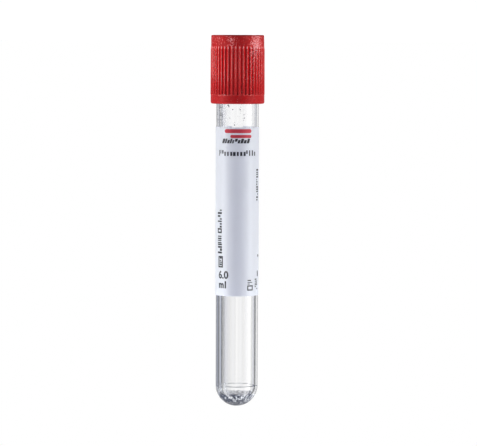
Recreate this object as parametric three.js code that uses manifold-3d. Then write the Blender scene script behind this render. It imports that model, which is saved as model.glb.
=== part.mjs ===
// Blood collection tube with a pull-off safety closure: a clear moulded tube with a round end,
// a wrap-around label, a film of dried clot activator, a ribbed cap shell and its rubber stopper.
//
// Lengths are in millimetres. Each piece is drawn upright: the axis is +Z, the tip of the round
// end is z = 0 and the printed front faces -Y. A round end can't stand and a round tube rolls, so
// the finished tube is turned over to stand on its head, which is the flat ring of the cap.

import * as THREE from "three";
import { mergeVertices } from "three/addons/utils/BufferGeometryUtils.js";
import Module from "manifold-3d";

const wasm = await Module();
wasm.setup();

// Tube
const tubeLength = 100;
const tubeDiameter = 13; // outside, at the mouth
const tubeDraft = 0.05; // radius lost between the mouth and the round end
const tubeWall = 1.05;
const tubeFloor = 1.3; // thickness at the tip
const mouthRounding = 0.3;

// Label
const labelBottom = 34.3; // height above the tip
const labelHeight = 51.6;
const labelFilm = 0.1;
const labelClearance = 0.05;
const labelWindow = 4; // bare strip left along the back, to see the sample

// Dried clot activator on the inside of the round end
const activatorFilm = 0.15;
const activatorClearance = 0.05;

// Stopper
const plugLength = 6.2; // reach into the bore
const plugClearance = 0.1; // between the seal rings and the bore
const sealRingCount = 2;
const sealRingHeight = 1.2;
const sealRingRelief = 0.25; // depth of the plug's waist between the rings
const plugLead = 0.6; // chamfer at the plug's end
const plugHollow = 3.2; // radius of the pocket under the needle's path
const plugHollowDepth = 5.4;
const flangeThickness = 4.6;
const flangeRounding = 0.4; // at its upper edge
const bossHeight = 1.5; // the disc that fills the foot of the cap's well
const bossClearance = 0.25;
const dimpleRadius = 3.1;
const dimpleDepth = 0.7;

// Cap shell
const capHeight = 21;
const capOverlap = 7; // length of tube that the skirt hides
const capWall = 1.04; // at the foot band
const capDraft = 0.06; // radius lost between the foot and the top
const capFootRounding = 0.6;
const capHeadRounding = 0.4;
const skirtClearance = 0.7; // between the skirt and the tube
const flangeClearance = 0.25; // between the skirt and the stopper's flange
const headThickness = 1.5;
const wellInset = 0.45; // the well's radius is this much less than the bore's
const wellFlare = 0.7; // widening of the well's mouth
const sleeveWall = 1; // the wall round the well, which presses on the flange
const beadReach = 0.36; // snap bead under the flange
const beadHeight = 0.9;
const seatClearance = 0.1; // between stopper and mouth, sleeve and bead
const skirtLead = 0.3; // chamfer inside the skirt's foot

// Guide ribs inside the skirt
const guideCount = 8;
const guideWidth = 0.7;
const guideClearance = 0.3; // between a guide rib and the tube
const guideInset = 1; // height of the guide ribs' ends above the skirt's foot

// Grip ribs round the cap
const ribCount = 44;
const footBand = 2.75; // height of the smooth collar below the ribs
const headBand = 2.8; // height of the smooth band above them
const collarStep = 0.06; // the collar stands this far out of the drum that carries the ribs
const ledge = 0.12; // height of the sloping step from the collar down to the grooves
const ribEnd = 1.8; // length of a rib's rounded upper end
const ribProud = 0.14; // height of the ribs above the drum
const grooveDepth = 0.2; // depth of the grooves below the drum

// Fineness of the faceted surfaces
const roundSteps = 48;
const stepsPerRib = 6;
const arcSteps = 2;
const domeSteps = 10;
const filmSteps = 24;
const ribEndSteps = 4;
const cut = 1; // how far a cutting shape reaches past the surface that it opens

// Radii and heights that follow from the sizes above
const tubeRadius = tubeDiameter / 2;
const boreRadius = tubeRadius - tubeWall;
const domeRadius = tubeRadius - tubeDraft; // also the height of the round end
const boreDomeRadius = domeRadius - tubeWall;
const skirtRadius = tubeRadius + skirtClearance; // inside the skirt
const capRadius = skirtRadius + capWall; // at the foot band
const capBottom = tubeLength - capOverlap;
const capTop = capBottom + capHeight;
const wellRadius = boreRadius - wellInset;
const sleeveRadius = wellRadius + sleeveWall;
const flangeRadius = skirtRadius - flangeClearance;
const flangeBottom = tubeLength + seatClearance;
const flangeTop = flangeBottom + flangeThickness;
const beadTop = flangeBottom - seatClearance;
const beadBottom = beadTop - beadHeight;
const ribFoot = capBottom + footBand + ledge; // the ribs have their full section from here
const ribHead = capTop - headBand - ribEnd; // up to here
const ribPitch = (2 * Math.PI) / ribCount;

// The drafted surface that the ribs stand on, which is also the head band.
function drumRadiusAt(z) {
  return capRadius - collarStep - (capDraft * (z - capBottom)) / capHeight;
}

function tubeRadiusAt(z) {
  return tubeRadius - (tubeDraft * (tubeLength - z)) / (tubeLength - domeRadius);
}

function point(radius, z) {
  return new THREE.Vector2(radius, z);
}

// Points along an elliptical arc about (radius, z), between two angles in degrees.
function arc(radius, z, width, height, from, to, steps) {
  const points = [];
  for (let i = 0; i <= steps; i++) {
    const angle = THREE.MathUtils.degToRad(from + ((to - from) * i) / steps);
    points.push(point(radius + width * Math.cos(angle), z + height * Math.sin(angle)));
  }
  return points;
}

// Turns a profile round the Z axis.
function revolve(profile, steps = roundSteps) {
  return new THREE.LatheGeometry(profile, steps).rotateX(Math.PI / 2);
}

function toSolid(geometry) {
  const bare = geometry.clone();
  bare.deleteAttribute("normal");
  bare.deleteAttribute("uv");
  const merged = mergeVertices(bare, 1e-4);
  return new wasm.Manifold(
    new wasm.Mesh({
      numProp: 3,
      vertProperties: merged.attributes.position.array,
      triVerts: new Uint32Array(merged.index.array),
    }),
  );
}

function toGeometry(solid) {
  const { vertProperties, triVerts } = solid.getMesh();
  const geometry = new THREE.BufferGeometry();
  geometry.setAttribute("position", new THREE.BufferAttribute(vertProperties, 3));
  geometry.setIndex(new THREE.BufferAttribute(triVerts, 1));
  geometry.computeVertexNormals();
  return geometry;
}

// The tube: a round end, drafted walls and a rounded mouth.
function tubeGeometry() {
  const lip = tubeLength - mouthRounding;
  const floorHeight = domeRadius - tubeFloor;
  return revolve([
    ...arc(0, domeRadius, domeRadius, domeRadius, -90, 0, domeSteps),
    ...arc(tubeRadius - mouthRounding, lip, mouthRounding, mouthRounding, 0, 90, arcSteps),
    ...arc(boreRadius + mouthRounding, lip, mouthRounding, mouthRounding, 90, 180, arcSteps),
    ...arc(0, domeRadius, boreDomeRadius, floorHeight, 0, -90, domeSteps),
  ]);
}

// The label: a film wrapped round the tube, open along the back.
function labelGeometry() {
  const inner = tubeRadiusAt(labelBottom + labelHeight) + labelClearance;
  const outer = inner + labelFilm;
  const halfWindow = labelWindow / (2 * outer);
  const back = Math.PI / 2;
  const start = back + halfWindow;
  const end = back + 2 * Math.PI - halfWindow;
  const outline = new THREE.Shape();
  outline.absarc(0, 0, outer, start, end, false);
  outline.absarc(0, 0, inner, end, start, true);
  outline.closePath();
  const settings = { depth: labelHeight, bevelEnabled: false, curveSegments: roundSteps };
  return new THREE.ExtrudeGeometry(outline, settings).translate(0, 0, labelBottom);
}

// The dried activator: a thin bowl that lines the round end.
function activatorGeometry() {
  const outerWidth = boreDomeRadius - activatorClearance;
  const outerHeight = domeRadius - tubeFloor - activatorClearance;
  const innerWidth = outerWidth - activatorFilm;
  const innerHeight = outerHeight - activatorFilm;
  const bowl = [
    ...arc(0, domeRadius, outerWidth, outerHeight, -90, 0, domeSteps),
    ...arc(0, domeRadius, innerWidth, innerHeight, 0, -90, domeSteps),
  ];
  return revolve(bowl, filmSteps);
}

// The seal rings of the plug, from its end up to the flange.
function sealRings(ringRadius) {
  const points = [];
  const pitch = (plugLength - plugLead) / sealRingCount;
  for (let i = 0; i < sealRingCount; i++) {
    const ringFoot = tubeLength - plugLength + plugLead + i * pitch;
    points.push(point(ringRadius, ringFoot));
    points.push(point(ringRadius, ringFoot + sealRingHeight));
    points.push(point(ringRadius - sealRingRelief, ringFoot + sealRingHeight + sealRingRelief));
    if (i < sealRingCount - 1) {
      points.push(point(ringRadius - sealRingRelief, ringFoot + pitch - sealRingRelief));
    }
  }
  return points;
}

// The stopper: a hollow plug with seal rings, a flange that sits on the tube's mouth,
// and a disc with a needle dimple at the foot of the cap's well.
function stopperGeometry() {
  const ringRadius = boreRadius - mouthTaper() - plugClearance;
  const plugEnd = tubeLength - plugLength;
  const bossRadius = wellRadius - bossClearance;
  const bossTop = flangeTop + bossHeight;
  const side = flangeRadius - flangeRounding;
  const hollowRoof = plugEnd + plugHollowDepth - plugHollow;
  return revolve([
    ...arc(0, hollowRoof, plugHollow, plugHollow, 90, 0, 2 * arcSteps),
    point(plugHollow, plugEnd),
    point(ringRadius - plugLead, plugEnd),
    ...sealRings(ringRadius),
    point(ringRadius - sealRingRelief, flangeBottom),
    point(flangeRadius, flangeBottom),
    ...arc(side, flangeTop - flangeRounding, flangeRounding, flangeRounding, 0, 90, arcSteps),
    point(bossRadius, flangeTop),
    point(bossRadius, bossTop),
    ...arc(0, bossTop, dimpleRadius, dimpleDepth, 0, -90, 2 * arcSteps),
  ]);
}

// How much narrower the bore is at the plug's end than at the mouth.
function mouthTaper() {
  return (tubeDraft * plugLength) / (tubeLength - domeRadius);
}

// How far the ribbed surface stands out of the drum. A rib's section is a smooth wave from crest to
// groove. At its upper end the crest falls and the groove rises to the drum, round in plan.
function ribOffset(angle, z) {
  if (z < ribFoot || z > ribHead + ribEnd) return 0;
  const fromCrest = angle / ribPitch - Math.floor(angle / ribPitch) - 0.5;
  const aside = 2 * Math.abs(fromCrest); // 0 on the crest, 1 in the middle of a groove
  const above = Math.max(0, z - ribHead) / ribEnd;
  const rib = wave(Math.hypot(aside, above));
  const groove = (1 - wave(aside)) * wave(above);
  return ribProud * rib - grooveDepth * groove;
}

// Falls smoothly from 1 at 0 to nothing at 1 and beyond.
function wave(distance) {
  return (1 + Math.cos(Math.PI * Math.min(1, distance))) / 2;
}

// The outside of the cap: a foot collar, a drafted drum with its ribs and a head band. The middle
// of a groove faces the back.
function ribbedDrum() {
  const headArc = capTop - capHeadRounding;
  const headRadius = drumRadiusAt(headArc) - capHeadRounding;
  const footArc = capBottom + capFootRounding;
  const footRadius = capRadius - capFootRounding;
  const levels = [ribFoot];
  for (let i = 0; i <= ribEndSteps; i++) levels.push(ribHead + (ribEnd * i) / ribEndSteps);
  const profile = [
    point(0, capBottom),
    ...arc(footRadius, footArc, capFootRounding, capFootRounding, -90, 0, arcSteps),
    point(capRadius, capBottom + footBand),
    ...levels.map((z) => point(drumRadiusAt(z), z)),
    ...arc(headRadius, headArc, capHeadRounding, capHeadRounding, 0, 90, arcSteps),
    point(0, capTop),
  ];
  const drum = revolve(profile, ribCount * stepsPerRib);
  const position = drum.attributes.position;
  for (let i = 0; i < position.count; i++) {
    const [x, y, z] = [position.getX(i), position.getY(i), position.getZ(i)];
    const angle = Math.atan2(x, y);
    const stretch = 1 + ribOffset(angle, z) / Math.max(footRadius, Math.hypot(x, y));
    position.setXY(i, x * stretch, y * stretch);
  }
  return drum;
}

// The space inside the cap: the skirt with its snap bead, the recess round the sleeve and the well.
function capHollow() {
  const recessTop = capTop - headThickness;
  const sleeveEnd = flangeTop + seatClearance;
  const catchRadius = skirtRadius - beadReach;
  const mouthRadius = wellRadius + wellFlare;
  return revolve([
    point(0, capBottom - cut),
    point(skirtRadius + skirtLead, capBottom - cut),
    point(skirtRadius + skirtLead, capBottom),
    point(skirtRadius, capBottom + skirtLead),
    point(skirtRadius, beadBottom),
    point(catchRadius, beadTop - beadReach),
    point(catchRadius, beadTop),
    point(skirtRadius, beadTop),
    point(skirtRadius, recessTop),
    point(sleeveRadius, recessTop),
    point(sleeveRadius, sleeveEnd),
    point(wellRadius, sleeveEnd),
    ...arc(mouthRadius, capTop - wellFlare, wellFlare, wellFlare, 180, 90, arcSteps),
    point(mouthRadius, capTop + cut),
    point(0, capTop + cut),
  ]);
}

// One guide rib, which keeps the skirt centred on the tube.
function guideRib(index) {
  const inner = tubeRadius + guideClearance;
  const outer = skirtRadius + capWall / 4;
  const height = beadBottom - capBottom - guideInset + beadHeight / 2;
  const rib = new THREE.BoxGeometry(outer - inner, guideWidth, height);
  rib.translate((inner + outer) / 2, 0, capBottom + guideInset + height / 2);
  return rib.rotateZ(((index + 0.5) * 2 * Math.PI) / guideCount);
}

function capGeometry() {
  let shell = toSolid(ribbedDrum()).subtract(toSolid(capHollow()));
  for (let i = 0; i < guideCount; i++) shell = shell.add(toSolid(guideRib(i)));
  return toGeometry(shell);
}

function piece(name, geometry, look) {
  const mesh = new THREE.Mesh(geometry, new THREE.MeshStandardMaterial(look));
  mesh.name = name;
  return mesh;
}

const clearPlastic = {
  color: 0xeef1f5,
  roughness: 0.05,
  metalness: 0,
  transparent: true,
  opacity: 0.3,
};
const whiteFilm = { color: 0xeff2f7, roughness: 0.45, metalness: 0 };
const driedFilm = { color: 0xd9dce6, roughness: 0.7, metalness: 0, transparent: true, opacity: 0.6 };
const greyRubber = { color: 0x8d8f92, roughness: 0.75, metalness: 0 };
const redPlastic = { color: 0xbf2226, roughness: 0.35, metalness: 0 };

const upright = new THREE.Group();
upright.add(piece("tube", tubeGeometry(), clearPlastic));
upright.add(piece("label", labelGeometry(), whiteFilm));
upright.add(piece("clot_activator", activatorGeometry(), driedFilm));
upright.add(piece("stopper", stopperGeometry(), greyRubber));
upright.add(piece("cap", capGeometry(), redPlastic));

// Turned over about the front-to-back axis, so that the front still faces -Y.
upright.rotation.y = Math.PI;
upright.position.z = capTop;

const bloodCollectionTube = new THREE.Group();
bloodCollectionTube.add(upright);

export default bloodCollectionTube;
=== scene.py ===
"""Looks of the blood collection tube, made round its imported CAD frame. Lengths are metres.

The capped tube stands on its head: the flat ring of the cap is z = 0, the tip of the round end is
the highest point and the printed front faces -Y. A `height` is measured the other way, from the
tip towards the cap, as the tube is held in use.
"""

import math
import random

import bmesh
import bpy
from mathutils import Matrix, Vector, noise


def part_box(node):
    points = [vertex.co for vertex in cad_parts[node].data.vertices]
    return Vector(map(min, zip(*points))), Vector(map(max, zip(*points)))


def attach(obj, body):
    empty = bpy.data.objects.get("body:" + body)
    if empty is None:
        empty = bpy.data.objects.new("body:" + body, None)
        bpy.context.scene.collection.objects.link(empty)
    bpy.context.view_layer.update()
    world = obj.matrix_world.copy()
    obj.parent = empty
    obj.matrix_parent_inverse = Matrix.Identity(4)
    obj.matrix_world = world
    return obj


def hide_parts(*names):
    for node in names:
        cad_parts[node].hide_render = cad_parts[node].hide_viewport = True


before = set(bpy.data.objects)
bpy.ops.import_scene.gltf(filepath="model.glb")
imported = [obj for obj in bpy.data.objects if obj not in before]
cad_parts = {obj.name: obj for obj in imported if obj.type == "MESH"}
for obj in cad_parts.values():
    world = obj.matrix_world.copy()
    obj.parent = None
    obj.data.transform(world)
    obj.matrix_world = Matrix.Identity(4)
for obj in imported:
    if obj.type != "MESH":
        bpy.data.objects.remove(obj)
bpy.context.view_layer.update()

MM = 0.001

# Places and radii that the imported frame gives
tube_low, tube_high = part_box("tube")
label_low, label_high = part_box("label")
stopper_low, stopper_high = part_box("stopper")
cap_low, cap_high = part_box("cap")

TIP = tube_high.z
TUBE_LENGTH = TIP - tube_low.z
TUBE_RADIUS = tube_high.x
LABEL_BOTTOM = TIP - label_high.z
LABEL_TOP = TIP - label_low.z
CAP_TOP = TIP - cap_low.z
CAP_BOTTOM = TIP - cap_high.z
CAP_HEIGHT = CAP_TOP - CAP_BOTTOM
FLANGE_RADIUS = stopper_high.x

# Tube
DRAFT = 0.05 * MM
WALL = 1.05 * MM
FLOOR = 1.3 * MM
MOUTH_ROUNDING = 0.3 * MM
DOME_RADIUS = TUBE_RADIUS - DRAFT
BORE_RADIUS = TUBE_RADIUS - WALL
BORE_DOME_RADIUS = DOME_RADIUS - WALL

# Label
LABEL_FILM = 0.1 * MM
LABEL_CLEARANCE = 0.05 * MM
LABEL_WINDOW = 4 * MM

# Dried clot activator
ACTIVATOR_FILM = 0.15 * MM
ACTIVATOR_BITE = 0.02 * MM
RIPPLE_SIZE = 0.5 * MM
RIPPLE_DEPTH = 0.35 * ACTIVATOR_FILM

# Stopper
PLUG_CLEARANCE = 0.1 * MM
PLUG_LENGTH = TUBE_LENGTH - (TIP - stopper_high.z)
SEAL_RINGS = 2
SEAL_RING_HEIGHT = 1.2 * MM
SEAL_RING_RELIEF = 0.25 * MM
PLUG_LEAD = 0.6 * MM
PLUG_HOLLOW = 3.2 * MM
PLUG_HOLLOW_DEPTH = 5.4 * MM
FLANGE_THICKNESS = 4.6 * MM
FLANGE_ROUNDING = 0.4 * MM
BOSS_HEIGHT = 1.5 * MM
BOSS_CLEARANCE = 0.25 * MM
DIMPLE_RADIUS = 3.1 * MM
DIMPLE_DEPTH = 0.7 * MM
SEAT_CLEARANCE = 0.1 * MM

# Cap
CAP_WALL = 1.04 * MM
CAP_DRAFT = 0.06 * MM
CAP_FOOT_ROUNDING = 0.6 * MM
CAP_HEAD_ROUNDING = 0.4 * MM
SKIRT_CLEARANCE = 0.7 * MM
HEAD_THICKNESS = 1.5 * MM
WELL_INSET = 0.45 * MM
WELL_FLARE = 0.7 * MM
SLEEVE_WALL = 1.0 * MM
BEAD_REACH = 0.36 * MM
BEAD_HEIGHT = 0.9 * MM
SKIRT_LEAD = 0.3 * MM
GUIDE_RIBS = 8
GUIDE_WIDTH = 0.7 * MM
GUIDE_CLEARANCE = 0.3 * MM
GUIDE_INSET = 1.0 * MM
GUIDE_ROOT = CAP_WALL / 4
GUIDE_ROUNDING = 0.08 * MM
RIBS = 44
FOOT_BAND = 2.75 * MM
HEAD_BAND = 2.8 * MM
COLLAR_STEP = 0.06 * MM
LEDGE = 0.12 * MM
RIB_END = 1.8 * MM
RIB_PROUD = 0.14 * MM
GROOVE_DEPTH = 0.2 * MM

SKIRT_RADIUS = TUBE_RADIUS + SKIRT_CLEARANCE
CAP_RADIUS = SKIRT_RADIUS + CAP_WALL
WELL_RADIUS = BORE_RADIUS - WELL_INSET
SLEEVE_RADIUS = WELL_RADIUS + SLEEVE_WALL
FLANGE_BOTTOM = TUBE_LENGTH + SEAT_CLEARANCE
FLANGE_TOP = FLANGE_BOTTOM + FLANGE_THICKNESS
BEAD_TOP = FLANGE_BOTTOM - SEAT_CLEARANCE
BEAD_BOTTOM = BEAD_TOP - BEAD_HEIGHT
RIB_FOOT = CAP_BOTTOM + FOOT_BAND + LEDGE
RIB_HEAD = CAP_TOP - HEAD_BAND - RIB_END
RIB_PITCH = 2 * math.pi / RIBS

# Tones of the cap, which carry painted light and shade: 0 in a groove, painted a brighter, deeper
# red that stands in for light scattered into it, 1 on the drum, 2 on a crest, painted paler as a
# painted highlight, and more where painted highlights, glints and scuffs are
PLAIN_TONE = 0.9
# Tone of the ledge: a painted highlight along its edge
LEDGE_HIGHLIGHT = 2.8
# How much paler the crests are painted towards both sides, and more towards +X: a painted highlight
# where the side lamps fall
SIDE_HIGHLIGHT = 0.55
PLUS_X_HIGHLIGHT = 0.15
# A painted glint on each rib's rounded end: its strength, place and width
END_GLINT = 2.2
END_GLINT_PLACE = 0.45  # share of a rib's rounded end
END_GLINT_WIDTH = 0.714  # share of a rib's width

# Fineness
ROUND_STEPS = 192
STEPS_PER_RIB = 16
RIB_END_STEPS = 14
ARC_STEPS = 8
DOME_STEPS = 40
STOPPER_STEPS = 96
SUPPORT = 0.2 * MM  # from a straight wall's end to the ring that keeps its shading straight
WELD = 1e-7  # points this close are one point
HAIR = 1e-9  # heights this close are the same


# ---------------------------------------------------------------- meshes


def arc(radius, height, wide, high, start, end, steps=ARC_STEPS):
    """Points (radius, height) along an elliptical arc, between two angles in degrees."""
    points = []
    for i in range(steps + 1):
        angle = math.radians(start + (end - start) * i / steps)
        points.append((radius + wide * math.cos(angle), height + high * math.sin(angle)))
    return points


def place(radius, angle, height):
    """The point at an angle from the back, at a height above the tip."""
    return Vector((radius * math.sin(angle), radius * math.cos(angle), TIP - height))


def revolve(profile, steps=ROUND_STEPS, closed=False, offset=None):
    """A bmesh of a profile turned round the axis. offset(angle, radius, height) is how far it moves
    a point out."""
    bm = bmesh.new()
    rings = []
    for i in range(steps):
        angle = 2 * math.pi * i / steps
        ring = []
        for radius, height in profile:
            more = offset(angle, radius, height) if offset else 0
            ring.append(bm.verts.new(place(radius + more, angle, height)))
        rings.append(ring)
    count = len(profile)
    spans = count if closed else count - 1
    for i in range(steps):
        here, there = rings[i], rings[(i + 1) % steps]
        for j in range(spans):
            k = (j + 1) % count
            bm.faces.new((here[j], there[j], there[k], here[k]))
    bmesh.ops.remove_doubles(bm, verts=bm.verts, dist=WELD)
    bmesh.ops.recalc_face_normals(bm, faces=bm.faces)
    return bm


def make_piece(name, bm, material, body, node=None, sharp=30):
    """Turns a bmesh into a piece of the part, which may stand for a CAD node."""
    mesh = bpy.data.meshes.new(name)
    bm.to_mesh(mesh)
    bm.free()
    mesh.polygons.foreach_set("use_smooth", [True] * len(mesh.polygons))
    mesh.set_sharp_from_angle(angle=math.radians(sharp))
    mesh.materials.append(material)
    piece = bpy.data.objects.new(name, mesh)
    bpy.context.scene.collection.objects.link(piece)
    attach(piece, body)
    if node:
        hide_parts(node)
    return piece


# ---------------------------------------------------------------- materials


class Nodes:
    """Short ways to add nodes to the tree of a material or of the world."""

    def __init__(self, tree):
        self.tree = tree

    def node(self, kind, inputs=(), **settings):
        made = self.tree.nodes.new(kind)
        for key, value in settings.items():
            setattr(made, key, value)
        for socket, value in dict(inputs).items():
            if isinstance(value, bpy.types.NodeSocket):
                self.tree.links.new(value, made.inputs[socket])
            else:
                made.inputs[socket].default_value = value
        return made

    def math(self, operation, *values):
        return self.node("ShaderNodeMath", dict(enumerate(values)), operation=operation).outputs[0]

    def spread(self, fac, low, high, start=0.3, end=0.7):
        """Maps a value between start and end, such as a noise's, to one between low and high."""
        inputs = {"Value": fac, "From Min": start, "From Max": end, "To Min": low, "To Max": high}
        return self.node("ShaderNodeMapRange", inputs).outputs["Result"]

    def ramp(self, fac, *stops):
        """A colour ramp through (position, colour) stops."""
        made = self.node("ShaderNodeValToRGB", {"Fac": fac})
        elements = made.color_ramp.elements
        while len(elements) < len(stops):
            elements.new(0.5)
        for element, (position, colour) in zip(elements, stops):
            element.position = position
            element.color = (*colour, 1)
        return made.outputs["Color"]

    def mix(self, fac, low, high):
        """A mix of two shaders: `low` where fac is 0 and `high` where it is 1."""
        return self.node("ShaderNodeMixShader", {"Fac": fac, 1: low, 2: high}).outputs["Shader"]


class Surface(Nodes):
    """A material with a Principled shader, given as name and uniform values."""

    def __init__(self, name, **values):
        self.material = bpy.data.materials.new(name)
        self.material.use_nodes = True
        super().__init__(self.material.node_tree)
        self.shader = self.tree.nodes["Principled BSDF"]
        for socket, value in values.items():
            self.shader.inputs[socket.replace("_", " ")].default_value = value
        self.point = self.node("ShaderNodeTexCoord").outputs["Object"]

    def noise(self, size, detail=3.0, roughness=0.55):
        """Noise whose blotches are about `size` metres across."""
        inputs = {"Vector": self.point, "Scale": 1 / size, "Detail": detail, "Roughness": roughness}
        return self.node("ShaderNodeTexNoise", inputs).outputs["Fac"]

    def link(self, socket, name):
        self.tree.links.new(socket, self.shader.inputs[name])

    def bump(self, height, depth, strength=1.0):
        inputs = {"Height": height, "Distance": depth, "Strength": strength}
        self.link(self.node("ShaderNodeBump", inputs).outputs["Normal"], "Normal")

    def show(self, shader):
        """Puts out this shader in place of the Principled one."""
        self.tree.links.new(shader, self.tree.nodes["Material Output"].inputs["Surface"])


def cap_plastic():
    """Satin red moulded plastic with painted light and shade in its colour: a brighter, deeper red
    in the grooves stands in for light scattered into them, the crests are painted paler as a
    painted highlight, the ribs' rounded ends and the ledge carry painted glints, and pale specks
    lie in places, partly scuffs and partly painted glints."""
    look = Surface("cap_plastic", IOR=1.5)
    crest = look.node("ShaderNodeAttribute", attribute_name="crest").outputs["Fac"]
    scuff_and_glint = look.node("ShaderNodeAttribute", attribute_name="scuff_and_glint").outputs["Fac"]
    blotch = look.spread(look.noise(1.2 * MM, detail=4), -0.05, 0.05)
    tone = look.math("ADD", look.math("DIVIDE", crest, 4), blotch)
    # Pale specks, partly scuffs and partly painted glints, where the noise and the scuff and glint
    # mask are high
    wear_and_highlight = look.math("ADD", look.noise(0.3 * MM, detail=2), look.math("MULTIPLY", scuff_and_glint, 0.24))
    tone = look.math("MAXIMUM", tone, look.spread(wear_and_highlight, 0.0, 1.0, 0.6, 0.8))
    # Painted light and shade: the groove's bright deep red stands in for light scattered into it,
    # the crest's paler red is a painted highlight, and the pale pinks from 0.6 up are painted
    # highlights and glints, and scuffs
    colour = look.ramp(
        tone,
        (0.0, (0.62, 0.002, 0.003)),
        (0.18, (0.46, 0.005, 0.006)),
        (0.225, (0.39, 0.014, 0.015)),
        (0.3, (0.46, 0.016, 0.016)),
        (0.5, (0.50, 0.024, 0.023)),
        (0.6, (0.84, 0.07, 0.065)),
        (0.75, (0.90, 0.24, 0.23)),
        (1.0, (0.82, 0.42, 0.44)),
    )
    look.link(colour, "Base Color")
    fine = look.noise(0.16 * MM, detail=4)
    polish = look.spread(crest, 0.46, 0.08, 1.3, 1.85)
    look.link(look.math("ADD", polish, look.spread(fine, 0.0, 0.1)), "Roughness")
    look.link(look.spread(crest, 0.25, 0.7, 1.2, 1.9), "Specular IOR Level")
    look.bump(fine, 0.012 * MM, 0.6)
    return look.material


def label_film():
    """White printed film, satin. Some light comes through it."""
    look = Surface("label_film", IOR=1.45)
    grain = look.noise(0.2 * MM, detail=4)
    colour = look.ramp(grain, (0.3, (0.875, 0.895, 0.905)), (0.7, (0.90, 0.92, 0.93)))
    look.link(colour, "Base Color")
    look.link(look.spread(grain, 0.28, 0.34), "Roughness")
    look.bump(grain, 0.002 * MM, 0.5)
    through = look.node("ShaderNodeBsdfTranslucent", {"Color": (0.84, 0.87, 1.0, 1)})
    look.show(look.mix(0.4, look.shader.outputs["BSDF"], through.outputs["BSDF"]))
    return look.material


def ink(name, colour):
    """Print on the label."""
    look = Surface(name, IOR=1.45)
    grain = look.noise(0.08 * MM)
    darker = tuple(0.8 * c for c in colour)
    look.link(look.ramp(grain, (0.35, darker), (0.65, colour)), "Base Color")
    look.link(look.spread(grain, 0.4, 0.55), "Roughness")
    return look.material


def clear_plastic():
    """Clear moulded polyester. Light from the lamps passes through it."""
    look = Surface("clear_plastic", IOR=1.57, Transmission_Weight=1)
    # The plastic is painted a greyer tint where it is seen edge-on: a painted shade along the
    # tube's sides
    facing = look.node("ShaderNodeLayerWeight", {"Blend": 0.5}).outputs["Facing"]
    tint = look.ramp(facing, (0.5, (1.0, 1.0, 1.0)), (0.95, (0.80, 0.82, 0.85)))
    look.link(tint, "Base Color")
    waves = look.noise(1.2 * MM, detail=2)
    look.link(look.spread(waves, 0.0, 0.03), "Roughness")
    look.bump(waves, 0.002 * MM, 0.3)
    shadow = look.node("ShaderNodeLightPath").outputs["Is Shadow Ray"]
    through = look.node("ShaderNodeBsdfTransparent", {"Color": (0.9, 0.91, 0.92, 1)})
    look.show(look.mix(shadow, look.shader.outputs["BSDF"], through.outputs["BSDF"]))
    return look.material


# How pale the dried film is on its way from the tip (0) to just past the tide line (1)
FILM_PALER = [
    (0.05, 0.2),
    (0.22, 0.32),
    (0.29, 0.48),
    (0.37, 0.48),
    (0.44, 0.38),
    (0.55, 0.44),
    (0.86, 0.50),
    (0.88, 0.1),
]


def dried_film():
    """The activator's dried spray: frosted specks, darkest at the tip, that thin out upwards and
    end in a tide line. It is thinner at the back and painted paler there, a painted light on the
    shaded back of the bowl, and painted darker towards +X, a painted shade on that side."""
    look = Surface("dried_film", IOR=1.45, Roughness=0.6)
    where = look.node("ShaderNodeSeparateXYZ", {0: look.point}).outputs
    height = look.math("SUBTRACT", TIP, where["Z"])
    speckle = look.spread(look.noise(0.8 * MM, detail=3, roughness=0.7), -0.9, 1.9, 0.0, 1.0)
    # Painted light: paler at the back, where the inside of the bowl lies in shade
    behind = look.spread(where["Y"], 0.0, 0.32, -1.5 * MM, 2.5 * MM)
    # Painted shade: darker towards +X
    aside = look.spread(where["X"], 0.0, -0.12, 1.0 * MM, 4.0 * MM)
    speckle = look.math("ADD", look.math("ADD", speckle, behind), aside)
    share = look.spread(height, 0.0, 1.0, 1.0 * MM, 7.0 * MM)
    paler = look.ramp(share, *[(position, (grey, grey, grey)) for position, grey in FILM_PALER])
    colour = look.ramp(
        look.math("SUBTRACT", look.math("ADD", speckle, paler), 0.5),
        (0.42, (0.05, 0.06, 0.10)),
        (0.5, (0.26, 0.29, 0.38)),
        (0.6, (0.84, 0.86, 0.93)),
    )
    look.link(colour, "Base Color")
    fine = look.noise(0.26 * MM, detail=3)
    lack = look.spread(height, 0.0, 0.4, 3.9 * MM, 4.6 * MM)
    lack = look.math("ADD", lack, look.spread(where["Y"], 0.0, 0.13, 2.0 * MM, 4.6 * MM))
    tide = look.spread(height, 0.0, 0.5, DOME_RADIUS - 0.22 * MM, DOME_RADIUS - 0.12 * MM)
    cover = look.math("ADD", look.math("SUBTRACT", fine, lack), tide)
    look.link(look.spread(cover, 0.0, 1.0, 0.36, 0.46), "Alpha")
    look.bump(speckle, 0.06 * MM, 0.8)
    return look.material


def dried_drops(name, dark, light):
    """Single dried drops of the spray: dull, dark in spots."""
    look = Surface(name, IOR=1.45, Roughness=0.6)
    grain = look.noise(0.2 * MM, detail=3)
    look.link(look.ramp(grain, (0.35, dark), (0.65, light)), "Base Color")
    look.bump(grain, 0.03 * MM, 0.8)
    return look.material


def rubber():
    """Matt grey stopper rubber."""
    look = Surface("rubber", IOR=1.5)
    grain = look.noise(0.3 * MM, detail=4)
    colour = look.ramp(grain, (0.3, (0.21, 0.215, 0.22)), (0.7, (0.27, 0.275, 0.28)))
    look.link(colour, "Base Color")
    look.link(look.spread(grain, 0.62, 0.8), "Roughness")
    look.bump(grain, 0.01 * MM, 0.5)
    return look.material


# ---------------------------------------------------------------- the tube and what is in it


def tube_radius_at(height):
    return TUBE_RADIUS - DRAFT * (TUBE_LENGTH - height) / (TUBE_LENGTH - DOME_RADIUS)


def bore_radius_at(height):
    return tube_radius_at(height) - WALL


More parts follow.
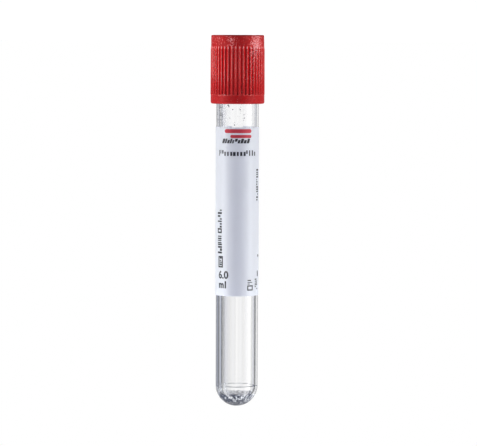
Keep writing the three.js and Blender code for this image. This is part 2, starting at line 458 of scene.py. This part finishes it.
def tube_mesh():
    """The tube, from the outside of its tip over the mouth to the inside of its tip."""
    lip = TUBE_LENGTH - MOUTH_ROUNDING
    ends = (DOME_RADIUS + SUPPORT, lip - SUPPORT)
    bowl = DOME_RADIUS - FLOOR
    outer_lip = TUBE_RADIUS - MOUTH_ROUNDING
    inner_lip = BORE_RADIUS + MOUTH_ROUNDING
    return revolve(
        [
            *arc(0, DOME_RADIUS, DOME_RADIUS, DOME_RADIUS, -90, 0, DOME_STEPS),
            *[(tube_radius_at(height), height) for height in ends],
            *arc(outer_lip, lip, MOUTH_ROUNDING, MOUTH_ROUNDING, 0, 90),
            *arc(inner_lip, lip, MOUTH_ROUNDING, MOUTH_ROUNDING, 90, 180),
            *[(bore_radius_at(height), height) for height in reversed(ends)],
            *arc(0, DOME_RADIUS, BORE_DOME_RADIUS, bowl, 0, -90, DOME_STEPS),
        ]
    )


def activator_mesh():
    """The bowl of dried film, stuck to the wall, with a rough inside."""
    wide = BORE_DOME_RADIUS + ACTIVATOR_BITE
    high = DOME_RADIUS - FLOOR + ACTIVATOR_BITE
    profile = [
        *arc(0, DOME_RADIUS, wide, high, -90, 0, DOME_STEPS),
        *arc(0, DOME_RADIUS, wide - ACTIVATOR_FILM, high - ACTIVATOR_FILM, 0, -90, DOME_STEPS),
    ]
    bm = revolve(profile)
    middle = Vector((0, 0, TIP - DOME_RADIUS))
    for vert in bm.verts:
        if (vert.co - middle).length < wide - ACTIVATOR_FILM / 2:
            vert.co += vert.normal * noise.noise(vert.co / RIPPLE_SIZE) * RIPPLE_DEPTH
    return bm


# Single drops in the bare strip under the cap, in millimetres: side, depth below the cap's foot,
# size
SINGLE_DROPS = [
    (2.65, 0.45, 0.3),
    (2.45, 0.85, 0.2),
    (1.35, 1.7, 0.16),
    (-0.8, 1.75, 0.2),
    (-1.9, 3.3, 0.15),
    (-2.0, 4.3, 0.18),
    (2.2, 4.3, 0.14),
    (0.85, 6.4, 0.17),
    (3.3, 2.6, 0.15),
]
# Bands of drops: lowest and highest place above the tip in millimetres, first and last angle from
# the back, count, smallest and largest size in millimetres
TOP_BANDS = [
    (86.2, 93.2, 60, 122, 130, 0.08, 0.19),
    (86.2, 93.2, 122, 360, 24, 0.06, 0.11),
]
BOWL_BANDS = [
    (4.8, 7.0, 95, 145, 24, 0.12, 0.26),
    (4.4, 6.2, 215, 262, 10, 0.1, 0.2),
    (4.4, 6.6, 0, 360, 24, 0.06, 0.16),
]
DROP_SEGMENTS = 12
DROP_RINGS = 6
DROP_DEPTH = 0.35  # share of its size
DROP_STRETCH = (0.8, 1.3)  # from round to long along the tube


def add_drop(bm, rng, angle, height, size):
    """Adds one dried drop, flattened against the wall of the bore."""
    long = rng.uniform(*DROP_STRETCH) * size
    depth = DROP_DEPTH * size
    reach = bore_radius_at(height) + ACTIVATOR_BITE - depth
    middle = place(reach, angle, height)
    out = place(1, angle, TIP)
    aside = Vector((out.y, -out.x, 0))
    rings = []
    for i in range(1, DROP_RINGS):
        polar = math.pi * i / DROP_RINGS
        ring = []
        for j in range(DROP_SEGMENTS):
            turn = 2 * math.pi * j / DROP_SEGMENTS
            wide = math.sin(polar) * size * math.cos(turn)
            high = math.sin(polar) * long * math.sin(turn)
            deep = depth * math.cos(polar)
            ring.append(bm.verts.new(middle + out * deep + aside * wide + Vector((0, 0, high))))
        rings.append(ring)
    for lower, upper in zip(rings, rings[1:]):
        for j in range(DROP_SEGMENTS):
            k = (j + 1) % DROP_SEGMENTS
            bm.faces.new((lower[j], upper[j], upper[k], lower[k]))
    for ring, deep, backwards in ((rings[0], depth, False), (rings[-1], -depth, True)):
        top = bm.verts.new(middle + out * deep)
        for j in range(DROP_SEGMENTS):
            k = (j + 1) % DROP_SEGMENTS
            bm.faces.new((top, ring[k], ring[j]) if backwards else (top, ring[j], ring[k]))


def drops_mesh(rng, singles, bands):
    """Dried drops on the wall of the bore: single ones, and bands of drops strewn at random."""
    bm = bmesh.new()
    for side, depth, size in singles:
        angle = math.pi - math.asin(side * MM / BORE_RADIUS)
        add_drop(bm, rng, angle, CAP_BOTTOM - depth * MM, size * MM)
    for low, high, first, last, count, small, large in bands:
        for _ in range(count):
            height = rng.uniform(low, high) * MM
            angle = math.radians(rng.uniform(first, last))
            add_drop(bm, rng, angle, height, rng.uniform(small, large) * MM)
    bmesh.ops.recalc_face_normals(bm, faces=bm.faces)
    return bm


# ---------------------------------------------------------------- the stopper


def seal_rings(ring_radius):
    points = []
    pitch = (PLUG_LENGTH - PLUG_LEAD) / SEAL_RINGS
    for i in range(SEAL_RINGS):
        foot = TUBE_LENGTH - PLUG_LENGTH + PLUG_LEAD + i * pitch
        points.append((ring_radius, foot))
        points.append((ring_radius, foot + SEAL_RING_HEIGHT))
        waist = ring_radius - SEAL_RING_RELIEF
        points.append((waist, foot + SEAL_RING_HEIGHT + SEAL_RING_RELIEF))
        if i < SEAL_RINGS - 1:
            points.append((waist, foot + pitch - SEAL_RING_RELIEF))
    return points


def stopper_mesh():
    taper = DRAFT * PLUG_LENGTH / (TUBE_LENGTH - DOME_RADIUS)
    ring_radius = BORE_RADIUS - taper - PLUG_CLEARANCE
    plug_end = TUBE_LENGTH - PLUG_LENGTH
    boss_radius = WELL_RADIUS - BOSS_CLEARANCE
    boss_top = FLANGE_TOP + BOSS_HEIGHT
    hollow_roof = plug_end + PLUG_HOLLOW_DEPTH - PLUG_HOLLOW
    side = FLANGE_RADIUS - FLANGE_ROUNDING
    return revolve(
        [
            *arc(0, hollow_roof, PLUG_HOLLOW, PLUG_HOLLOW, 90, 0, 2 * ARC_STEPS),
            (PLUG_HOLLOW, plug_end),
            (ring_radius - PLUG_LEAD, plug_end),
            *seal_rings(ring_radius),
            (ring_radius - SEAL_RING_RELIEF, FLANGE_BOTTOM),
            (FLANGE_RADIUS, FLANGE_BOTTOM),
            *arc(side, FLANGE_TOP - FLANGE_ROUNDING, FLANGE_ROUNDING, FLANGE_ROUNDING, 0, 90),
            (boss_radius, FLANGE_TOP),
            (boss_radius, boss_top),
            *arc(0, boss_top, DIMPLE_RADIUS, DIMPLE_DEPTH, 0, -90, 2 * ARC_STEPS),
        ],
        steps=STOPPER_STEPS,
    )


# ---------------------------------------------------------------- the cap


def wave(distance):
    """Falls smoothly from 1 at 0 to nothing at 1 and beyond."""
    return (1 + math.cos(math.pi * min(1, distance))) / 2


def drum_radius_at(height):
    return CAP_RADIUS - COLLAR_STEP - CAP_DRAFT * (height - CAP_BOTTOM) / CAP_HEIGHT


def rib_offset(angle, height):
    """How far the ribbed surface stands out of the drum."""
    if height < RIB_FOOT - HAIR or height > RIB_HEAD + RIB_END:
        return 0
    from_crest = (angle / RIB_PITCH) % 1 - 0.5
    aside = 2 * abs(from_crest)
    above = max(0, height - RIB_HEAD) / RIB_END
    rib = wave(math.hypot(aside, above))
    groove = (1 - wave(aside)) * wave(above)
    return RIB_PROUD * rib - GROOVE_DEPTH * groove


def cap_outside():
    """The cap's outer profile, from the foot up to the ring on which it stands."""
    head_arc = CAP_TOP - CAP_HEAD_ROUNDING
    head_radius = drum_radius_at(head_arc) - CAP_HEAD_ROUNDING
    foot_arc = CAP_BOTTOM + CAP_FOOT_ROUNDING
    foot_radius = CAP_RADIUS - CAP_FOOT_ROUNDING
    levels = [RIB_FOOT, RIB_FOOT + (RIB_HEAD - RIB_FOOT) / 2]
    levels += [RIB_HEAD + RIB_END * i / RIB_END_STEPS for i in range(RIB_END_STEPS + 1)]
    return [
        *arc(foot_radius, foot_arc, CAP_FOOT_ROUNDING, CAP_FOOT_ROUNDING, -90, 0),
        (CAP_RADIUS, foot_arc + SUPPORT),
        (CAP_RADIUS, CAP_BOTTOM + FOOT_BAND - LEDGE),
        (CAP_RADIUS, CAP_BOTTOM + FOOT_BAND),
        *[(drum_radius_at(level), level) for level in levels],
        *arc(head_radius, head_arc, CAP_HEAD_ROUNDING, CAP_HEAD_ROUNDING, 0, 90),
    ]


def cap_inside():
    """The cap's inner profile, from the well's mouth down to the skirt's foot."""
    recess_top = CAP_TOP - HEAD_THICKNESS
    sleeve_end = FLANGE_TOP + SEAT_CLEARANCE
    catch = SKIRT_RADIUS - BEAD_REACH
    mouth = WELL_RADIUS + WELL_FLARE
    return [
        *arc(mouth, CAP_TOP - WELL_FLARE, WELL_FLARE, WELL_FLARE, 90, 180),
        (WELL_RADIUS, sleeve_end),
        (SLEEVE_RADIUS, sleeve_end),
        (SLEEVE_RADIUS, recess_top),
        (SKIRT_RADIUS, recess_top),
        (SKIRT_RADIUS, BEAD_TOP),
        (catch, BEAD_TOP),
        (catch, BEAD_TOP - BEAD_REACH),
        (SKIRT_RADIUS, BEAD_BOTTOM),
        (SKIRT_RADIUS, CAP_BOTTOM + SKIRT_LEAD),
        (SKIRT_RADIUS + SKIRT_LEAD, CAP_BOTTOM),
    ]


def add_guide_ribs(bm):
    """The ribs inside the skirt that keep it centred on the tube."""
    inner = TUBE_RADIUS + GUIDE_CLEARANCE
    outer = SKIRT_RADIUS + GUIDE_ROOT
    high = BEAD_BOTTOM - CAP_BOTTOM - GUIDE_INSET + BEAD_HEIGHT / 2
    middle = CAP_BOTTOM + GUIDE_INSET + high / 2
    for i in range(GUIDE_RIBS):
        angle = (i + 0.5) * 2 * math.pi / GUIDE_RIBS
        spot = Matrix.Translation(place((inner + outer) / 2, angle, middle))
        turn = Matrix.Rotation(-angle, 4, "Z")
        size = Matrix.Diagonal((GUIDE_WIDTH, outer - inner, high, 1))
        made = bmesh.ops.create_cube(bm, size=1, matrix=spot @ turn @ size)
        edges = {edge for vert in made["verts"] for edge in vert.link_edges}
        bmesh.ops.bevel(
            bm, geom=list(edges), offset=GUIDE_ROUNDING, segments=2, affect="EDGES"
        )


def crest_at(angle, height):
    """The tone of a place on the cap, with painted light and shade in it. The crests are painted
    paler towards both sides as a painted highlight, a little more on the +X side, and the ribs'
    rounded ends carry a painted glint all round."""
    # The ledge's edge gets a painted highlight
    if abs(height - CAP_BOTTOM - FOOT_BAND) < HAIR:
        return LEDGE_HIGHLIGHT
    if height < RIB_FOOT + HAIR or height > RIB_HEAD + RIB_END:
        return PLAIN_TONE
    offset = rib_offset(angle, height)
    above = max(0, height - RIB_HEAD) / RIB_END
    aside = 2 * abs((angle / RIB_PITCH) % 1 - 0.5)
    if offset > 0:
        rise = offset / RIB_PROUD
        # A painted glint on the rib's rounded end
        end = wave(aside / END_GLINT_WIDTH) * wave(abs(above - END_GLINT_PLACE) / END_GLINT_PLACE)
        # A painted highlight on the crest, paler towards both sides and more towards +X
        wear_and_highlight = SIDE_HIGHLIGHT * abs(math.sin(angle)) + PLUS_X_HIGHLIGHT * math.sin(angle)
        return 1 + rise + wear_and_highlight * rise**2 + (PLAIN_TONE - 1) * above + END_GLINT * end
    # In a groove the tone falls to 0, a brighter, deeper red painted in for light scattered into it
    return 1 + offset / GROOVE_DEPTH + (PLAIN_TONE - 1) * above


# Pale speckled patches, partly scuffs and partly painted glints, the first of them a haze right
# round the head, a painted sheen: side in degrees from the front towards +X, depth below the
# head's rim in millimetres, reach round the cap in degrees, reach along it in millimetres,
# strength
SCUFFS_AND_GLINTS = [
    (0, 1.3, 400, 0.9, 0.35),
    (-47, 2.8, 12, 2.3, 1.1),
    (-33, 10.0, 8, 6.0, 0.4),
    (-12, 11.0, 6, 6.0, 0.25),
    (12, 2.1, 7, 1.5, 0.85),
    (46, 1.6, 18, 1.2, 0.6),
    (95, 1.8, 14, 1.2, 0.6),
    (150, 2.2, 10, 2.0, 0.7),
    (-100, 1.8, 12, 1.5, 0.6),
    (-155, 6.0, 9, 4.0, 0.4),
]


def scuff_and_glint_at(point):
    """0 where the cap is plain, up to 1 in the patches of scuffs and painted glints."""
    around = math.degrees(math.atan2(point.x, -point.y))
    total = 0
    for side, depth, wide, high, strength in SCUFFS_AND_GLINTS:
        aside = (around - side + 180) % 360 - 180
        below = (point.z - cap_low.z) / MM - depth
        total += strength * math.exp(-((aside / wide) ** 2 + (below / high) ** 2) / 2)
    return total


def cap_mesh():
    """The cap. Its outer side carries the tone, with its painted light and shade, and the mask of
    scuffs and painted glints that the cap's look reads.
    """
    outer = CAP_RADIUS - CAP_DRAFT - 2 * COLLAR_STEP - CAP_HEAD_ROUNDING

    def offset(angle, radius, height):
        return rib_offset(angle, height) if radius > outer else 0

    bm = revolve([*cap_outside(), *cap_inside()], RIBS * STEPS_PER_RIB, True, offset)
    add_guide_ribs(bm)
    crest = bm.verts.layers.float.new("crest")
    scuff_and_glint = bm.verts.layers.float.new("scuff_and_glint")
    for vert in bm.verts:
        if vert.co.xy.length > outer:
            around = math.atan2(vert.co.x, vert.co.y)
            vert[crest] = crest_at(around, TIP - vert.co.z)
            vert[scuff_and_glint] = scuff_and_glint_at(vert.co)
        else:
            vert[crest] = 1
    return bm


# ---------------------------------------------------------------- the label and its print


def label_mesh():
    """The label, wrapped round from one side of the open strip at the back to the other."""
    inner = tube_radius_at(LABEL_TOP) + LABEL_CLEARANCE
    outer = inner + LABEL_FILM
    half_window = LABEL_WINDOW / (2 * outer)
    bm = bmesh.new()
    corners = [
        (inner, LABEL_BOTTOM),
        (outer, LABEL_BOTTOM),
        (outer, LABEL_TOP),
        (inner, LABEL_TOP),
    ]
    rings = []
    for i in range(ROUND_STEPS + 1):
        angle = half_window + (2 * math.pi - 2 * half_window) * i / ROUND_STEPS
        rings.append([bm.verts.new(place(radius, angle, height)) for radius, height in corners])
    for here, there in zip(rings, rings[1:]):
        for j in range(4):
            k = (j + 1) % 4
            bm.faces.new((here[j], there[j], there[k], here[k]))
    bm.faces.new(rings[0])
    bm.faces.new(rings[-1])
    bmesh.ops.recalc_face_normals(bm, faces=bm.faces)
    return bm


PRINT_GAP = 0.004 * MM
PRINT_RADIUS = label_high.x + PRINT_GAP
PRINT_FILM = 0.012 * MM
PRINT_STEP = 0.25 * MM


def wrap(bm):
    """Bends a flat print round the label: x is the distance right of the front's middle, y the
    height above the label's foot."""
    low = min(vert.co.x for vert in bm.verts)
    high = max(vert.co.x for vert in bm.verts)
    cuts = int((high - low) / PRINT_STEP)
    for i in range(1, cuts + 1):
        everything = [*bm.verts, *bm.edges, *bm.faces]
        at = (low + i * (high - low) / (cuts + 1), 0, 0)
        bmesh.ops.bisect_plane(bm, geom=everything, plane_co=at, plane_no=(1, 0, 0))
    for vert in bm.verts:
        angle = math.pi - vert.co.x / PRINT_RADIUS
        vert.co = place(PRINT_RADIUS, -angle, LABEL_BOTTOM + vert.co.y)
    for face in bm.faces:
        out = face.calc_center_median() * Vector((1, 1, 0))
        if face.normal.dot(out) < 0:
            face.normal_flip()
    bm.normal_update()
    bmesh.ops.solidify(bm, geom=bm.faces[:], thickness=-PRINT_FILM)
    return bm


def rectangle(bm, x, y, wide, high, lean=0.0, corner=0.0):
    """Adds a flat bar, with its lower left corner at (x, y). Lengths are millimetres."""
    points = [(0, 0), (wide, 0), (wide, high), (0, high)]
    if corner:
        points = []
        for cx, cy, start in (
            (wide - corner, corner, -90),
            (wide - corner, high - corner, 0),
            (corner, high - corner, 90),
            (corner, corner, 180),
        ):
            points += arc(cx, cy, corner, corner, start, start + 90, 6)
    verts = [bm.verts.new(((x + px + lean * py) * MM, (y + py) * MM, 0)) for px, py in points]
    bm.faces.new(verts)


def frame_bars(bm, x, y, wide, high, line):
    """Adds the outline of a box."""
    rectangle(bm, x, y, wide, line)
    rectangle(bm, x, y + high - line, wide, line)
    rectangle(bm, x, y + line, line, high - 2 * line)
    rectangle(bm, x + wide - line, y + line, line, high - 2 * line)


def text_mesh(bm, words, x, y, size, bold, spacing=1.0):
    """Adds plain lettering, with its lower left corner at (x, y). Lengths are millimetres."""
    curve = bpy.data.curves.new("lettering", "FONT")
    curve.body = words
    curve.size = size * MM
    curve.space_character = spacing
    curve.resolution_u = 6
    curve.offset = bold * MM
    temporary = bpy.data.objects.new("lettering", curve)
    bpy.context.scene.collection.objects.link(temporary)
    bpy.context.view_layer.update()
    mesh = bpy.data.meshes.new_from_object(temporary)
    mesh.transform(Matrix.Translation((x * MM, y * MM, 0)))
    bm.from_mesh(mesh)
    bpy.data.objects.remove(temporary)
    bpy.data.curves.remove(curve)
    bpy.data.meshes.remove(mesh)


# Bars that stand for letters, as shares of a line's height: size and place
LINE_BARS = ((1.0, 0.0), (1.0, 0.0), (0.72, 0.0), (0.72, 0.0), (0.62, 0.38))
COLUMN_BARS = ((1.0, 0.0), (1.0, 0.0), (0.7, 0.0), (0.45, 0.0), (0.45, 0.55))


def greeked_line(bm, rng, x, y, length, high, stroke, gap, lean=0.0):
    """Adds a row of short bars that stands for a line of print."""
    at = x
    while at < x + length:
        wide = stroke * rng.uniform(0.7, 1.4)
        rise, lift = rng.choice(LINE_BARS)
        rectangle(bm, at + lean * lift * high, y + lift * high, wide, high * rise, lean)
        at += wide + gap * rng.uniform(0.7, 1.5)


def greeked_column(bm, rng, x, y, length, wide, stroke=0.36, gap=0.3):
    """Adds a column of short bars that stands for a line of print turned on its side."""
    at = y
    while at < y + length:
        high = stroke * rng.uniform(0.7, 1.3)
        reach, inset = rng.choice(COLUMN_BARS)
        rectangle(bm, x + inset * wide, at, reach * wide, high)
        at += high + gap * rng.uniform(0.7, 1.4)


def red_print():
    """Two plain bars at the label's top. Places and sizes are millimetres, as in black_print."""
    bm = bmesh.new()
    rectangle(bm, -4.1, 49.85, 8.7, 1.2, corner=0.58)
    rectangle(bm, -2.2, 48.35, 6.8, 0.95, corner=0.45)
    return wrap(bm)


def black_print(rng):
    """Rows and columns of plain bars, plain boxes, and the volume. x is the distance right of the
    front's middle and y the height above the label's foot."""
    bm = bmesh.new()
    greeked_line(bm, rng, -5.1, 46.75, 8.2, 1.4, 0.62, 0.17, lean=0.3)
    greeked_line(bm, rng, -6.5, 42.9, 4.0, 1.7, 0.36, 0.42)
    greeked_line(bm, rng, -2.2, 42.9, 4.6, 1.7, 0.66, 0.3)
    greeked_line(bm, rng, 2.8, 42.9, 3.5, 1.7, 0.38, 0.42)
    greeked_column(bm, rng, -7.2, 20.9, 5.5, 2.0, 0.46, 0.3)
    frame_bars(bm, -7.2, 19.2, 2.0, 1.5, 0.45)
    greeked_column(bm, rng, -7.1, 13.0, 2.7, 2.0, 0.62, 0.2)
    greeked_column(bm, rng, -7.1, 16.1, 2.2, 1.8, 0.4, 0.3)
    frame_bars(bm, -6.7, 8.7, 2.0, 3.5, 0.42)
    greeked_column(bm, rng, -6.1, 9.4, 2.1, 0.9, 0.5, 0.24)
    text_mesh(bm, "6.0", -6.6, 5.4, 3.2, 0.09)
    text_mesh(bm, "ml", -6.5, 2.5, 2.9, 0.12, spacing=1.15)
    greeked_column(bm, rng, 7.1, 29.2, 10.0, 1.3, 0.4, 0.34)
    frame_bars(bm, 3.3, 1.7, 2.1, 1.6, 0.36)
    greeked_column(bm, rng, 3.4, 3.6, 1.6, 1.8, 0.3, 0.28)
    rectangle(bm, 7.8, 5.9, 0.6, 1.7)
    greeked_column(bm, rng, 6.4, 2.0, 3.4, 1.6, 0.34, 0.28)
    rectangle(bm, 8.1, 11.9, 0.9, 0.65)
    return wrap(bm)


# ---------------------------------------------------------------- all the pieces


DROP_SEED = 7
PRINT_SEED = 2


def build():
    rng = random.Random(DROP_SEED)
    glass = clear_plastic()
    bloom = dried_film()
    grey_drops = dried_drops("dried_drops", (0.02, 0.02, 0.03), (0.30, 0.31, 0.36))
    pale_drops = dried_drops("pale_drops", (0.55, 0.58, 0.66), (0.92, 0.93, 0.96))
    make_piece("tube_wall", tube_mesh(), glass, "tube", "tube", sharp=50)
    make_piece(
        "activator_bloom", activator_mesh(), bloom, "tube", "clot_activator", sharp=80
    )
    for name, look, singles, bands in (
        ("drops_under_cap", grey_drops, SINGLE_DROPS, TOP_BANDS),
        ("drops_over_bowl", pale_drops, [], BOWL_BANDS),
    ):
        make_piece(name, drops_mesh(rng, singles, bands), look, "tube", sharp=80)
    make_piece("label_wrap", label_mesh(), label_film(), "tube", "label")
    black = ink("black_ink", (0.02, 0.022, 0.03))
    red = ink("red_ink", (0.55, 0.05, 0.07))
    print_rng = random.Random(PRINT_SEED)
    make_piece("label_print_black", black_print(print_rng), black, "tube")
    make_piece("label_print_red", red_print(), red, "tube")
    make_piece("stopper_rubber", stopper_mesh(), rubber(), "closure", "stopper")
    make_piece("cap_shell", cap_mesh(), cap_plastic(), "closure", "cap", sharp=40)


# ---------------------------------------------------------------- floor, light and camera

FLOOR_RADIUS = 0.9
FLOOR_DROP = 0.02 * MM
FLOOR_FADE = (0.25, 0.855)  # between these distances the floor gives way to the background
FLOOR_GLOW = 0.8

AMBIENT = (0.16, 0.15, 0.26)
RED_LOSS = 0.05  # how much a card's share of blue takes from its red
BLUE_GAIN = 0.17  # and how much it adds to its blue
CARD_EDGE = (0.04, 0.07)  # between these slopes the low cards give way to the high ones
CARD_REACH = 45  # the same cards stand in every quarter, this many degrees either way

# The cards that show through the clear plastic, white with dark gaps between them: degrees from
# the middle of a quarter towards +X, grey, share of blue
HIGH_CARDS = [
    (-45, 0.03, 1.5),
    (-41, 0.1, 2.0),
    (-29, 0.95, 0.0),
    (-24, 1.0, 0.0),
    (-5, 0.85, 0.0),
    (0, 1.0, 0.0),
    (3, 0.9, 0.0),
    (8, 0.2, 1.5),
    (10, 0.03, 1.5),
    (15, 0.03, 1.5),
    (20, 0.45, 2.0),
    (23, 0.5, 1.5),
    (30, 0.3, 2.0),
    (42, 0.35, 0.0),
    (45, 0.3, 0.0),
]
LOW_CARDS = [
    (-45, 0.25, 1.5),
    (-36, 0.45, 0.5),
    (-29, 0.95, 0.0),
    (-15, 1.0, 0.0),
    (-5, 0.9, 0.0),
    (0, 1.0, 0.0),
    (3, 1.0, 0.0),
    (8, 0.4, 0.5),
    (15, 0.4, 1.0),
    (25, 0.8, 0.0),
    (34, 0.55, 0.5),
    (45, 0.95, 0.3),
]
# What gloss reflects: azimuth from the back towards +X, grey
GLOSS_STOPS = [
    (-170, 0.03),
    (-150, 0.7),
    (-132, 2.6),
    (-112, 4.8),
    (-104, 4.8),
    (-94, 0.03),
    (-66, 0.03),
    (-54, 0.5),
    (54, 0.35),
    (70, 0.25),
    (88, 0.3),
    (98, 6.4),
    (112, 6.4),
    (128, 2.6),
    (146, 0.6),
    (165, 0.03),
]

LAMP_COLOUR = (1.0, 1.0, 0.93)
LAMP_DISTANCE = 1.3
# Azimuth from the front towards +X, elevation, width, height, watts
LAMPS = [
    ("lamp_left", 80, 8, 0.7, 0.9, 24.0),
    ("lamp_right", -76, 8, 0.6, 0.9, 22.0),
    ("lamp_top", 0, 80, 0.8, 0.8, 2.0),
    ("lamp_back", 180, 8, 0.8, 0.9, 13.0),
]

CAMERA_DISTANCE = 0.9
CAMERA_HEIGHT = 4 * MM  # just above the floor
CAMERA_ROLL = 180.2  # degrees: the picture shows the cap, on which the tube stands, at the top
AIM_SIDE = -0.43 * MM
AIM_UP = 0.63 * MM  # above the tube's middle
PICTURE_WIDTH = 146.5 * MM  # what the camera sees across, at the tube
SENSOR_WIDTH = 36
CLIP_START = 0.01
CLIP_END = 20


def seen_directly(look):
    """1 for rays from the camera and for what shows through glass, 0 for the rest."""
    path = look.node("ShaderNodeLightPath").outputs
    return look.math("MAXIMUM", path["Is Camera Ray"], path["Is Transmission Ray"])


def add_floor():
    """A white floor that keeps the shadow and fades into the white background."""
    look = Surface("floor", Roughness=0.9, Specular_IOR_Level=0)
    grain = look.noise(0.02)
    colour = look.ramp(grain, (0.3, (0.36, 0.36, 0.365)), (0.7, (0.38, 0.38, 0.38)))
    look.link(colour, "Base Color")
    strength = look.math("MULTIPLY", seen_directly(look), FLOOR_GLOW)
    glow = look.node("ShaderNodeEmission", {"Color": (1, 1, 1, 1), "Strength": strength})
    shaders = {0: look.shader.outputs["BSDF"], 1: glow.outputs["Emission"]}
    lit = look.node("ShaderNodeAddShader", shaders)
    away = look.node("ShaderNodeVectorMath", {0: look.point}, operation="LENGTH")
    inputs = {"Value": away.outputs["Value"], "From Min": FLOOR_FADE[0], "From Max": FLOOR_FADE[1]}
    fade = look.node("ShaderNodeMapRange", inputs, interpolation_type="SMOOTHSTEP")
    clear = look.node("ShaderNodeBsdfTransparent")
    look.show(look.mix(fade.outputs["Result"], lit.outputs["Shader"], clear.outputs["BSDF"]))
    bm = bmesh.new()
    bmesh.ops.create_circle(bm, cap_ends=True, segments=96, radius=FLOOR_RADIUS)
    mesh = bpy.data.meshes.new("floor")
    bm.to_mesh(mesh)
    bm.free()
    mesh.materials.append(look.material)
    floor = bpy.data.objects.new("floor", mesh)
    floor.location.z = -FLOOR_DROP
    bpy.context.scene.collection.objects.link(floor)


def add_world():
    """White to the camera. Glass and gloss see white cards with grey gaps between them."""
    world = bpy.data.worlds.new("studio")
    world.use_nodes = True
    world.node_tree.nodes.clear()
    bpy.context.scene.world = world
    sky = Nodes(world.node_tree)

    def background(colour):
        return sky.node("ShaderNodeBackground", {"Color": colour}).outputs["Background"]

    def backdrop(angle, reach, stops):
        """A background whose colour goes round with an angle between -reach and reach degrees."""
        share = sky.math("ADD", sky.math("DIVIDE", angle, math.radians(2 * reach)), 0.5)
        colours = []
        for degrees, grey, blue in stops:
            colour = (grey * (1 - RED_LOSS * blue), grey, grey * (1 + BLUE_GAIN * blue))
            colours.append(((degrees + reach) / (2 * reach), colour))
        return background(sky.ramp(share, *colours))

    direction = sky.node("ShaderNodeTexCoord").outputs["Generated"]
    toward = sky.node("ShaderNodeSeparateXYZ", {0: direction}).outputs
    azimuth = sky.math("ARCTAN2", toward["X"], toward["Y"])
    quarter = sky.math("WRAP", azimuth, math.radians(CARD_REACH), math.radians(-CARD_REACH))
    low_cards = backdrop(quarter, CARD_REACH, LOW_CARDS)
    high_cards = backdrop(quarter, CARD_REACH, HIGH_CARDS)
    cards = sky.mix(sky.spread(toward["Z"], 0, 1, *CARD_EDGE), low_cards, high_cards)
    gloss = backdrop(azimuth, 180, [(degrees, grey, 0) for degrees, grey in GLOSS_STOPS])
    path = sky.node("ShaderNodeLightPath").outputs
    seen = sky.mix(path["Is Glossy Ray"], background((*AMBIENT, 1)), gloss)
    seen = sky.mix(path["Is Transmission Ray"], seen, cards)
    seen = sky.mix(path["Is Camera Ray"], seen, background((1, 1, 1, 1)))
    sky.node("ShaderNodeOutputWorld", {"Surface": seen})


def add_lamps():
    middle = Vector((0, 0, TIP / 2))
    for name, azimuth, elevation, wide, high, watts in LAMPS:
        a, e = math.radians(azimuth), math.radians(elevation)
        away = Vector((math.sin(a) * math.cos(e), -math.cos(a) * math.cos(e), math.sin(e)))
        data = bpy.data.lights.new(name, "AREA")
        data.shape = "RECTANGLE"
        data.size, data.size_y = wide, high
        data.energy = watts
        data.color = LAMP_COLOUR
        lamp = bpy.data.objects.new(name, data)
        lamp.location = middle + away * LAMP_DISTANCE
        lamp.rotation_mode = "QUATERNION"
        lamp.rotation_quaternion = away.to_track_quat("Z", "Y")
        lamp.visible_camera = lamp.visible_transmission = lamp.visible_glossy = False
        bpy.context.scene.collection.objects.link(lamp)


def add_camera():
    data = bpy.data.cameras.new("camera")
    target = Vector((AIM_SIDE, 0, TIP / 2 + AIM_UP))
    stand = Vector((AIM_SIDE, -CAMERA_DISTANCE, CAMERA_HEIGHT))
    view = target - stand
    data.sensor_width = SENSOR_WIDTH
    data.lens = SENSOR_WIDTH * view.length / PICTURE_WIDTH
    data.clip_start = CLIP_START
    data.clip_end = CLIP_END
    camera = bpy.data.objects.new("camera", data)
    camera.location = stand
    camera.rotation_mode = "QUATERNION"
    roll = Matrix.Rotation(math.radians(CAMERA_ROLL), 3, "Z")
    camera.rotation_quaternion = (view.to_track_quat("-Z", "Y").to_matrix() @ roll).to_quaternion()
    bpy.context.scene.collection.objects.link(camera)
    bpy.context.scene.camera = camera


build()
add_floor()
add_world()
add_lamps()
add_camera()
bpy.context.scene.view_settings.view_transform = "Standard"
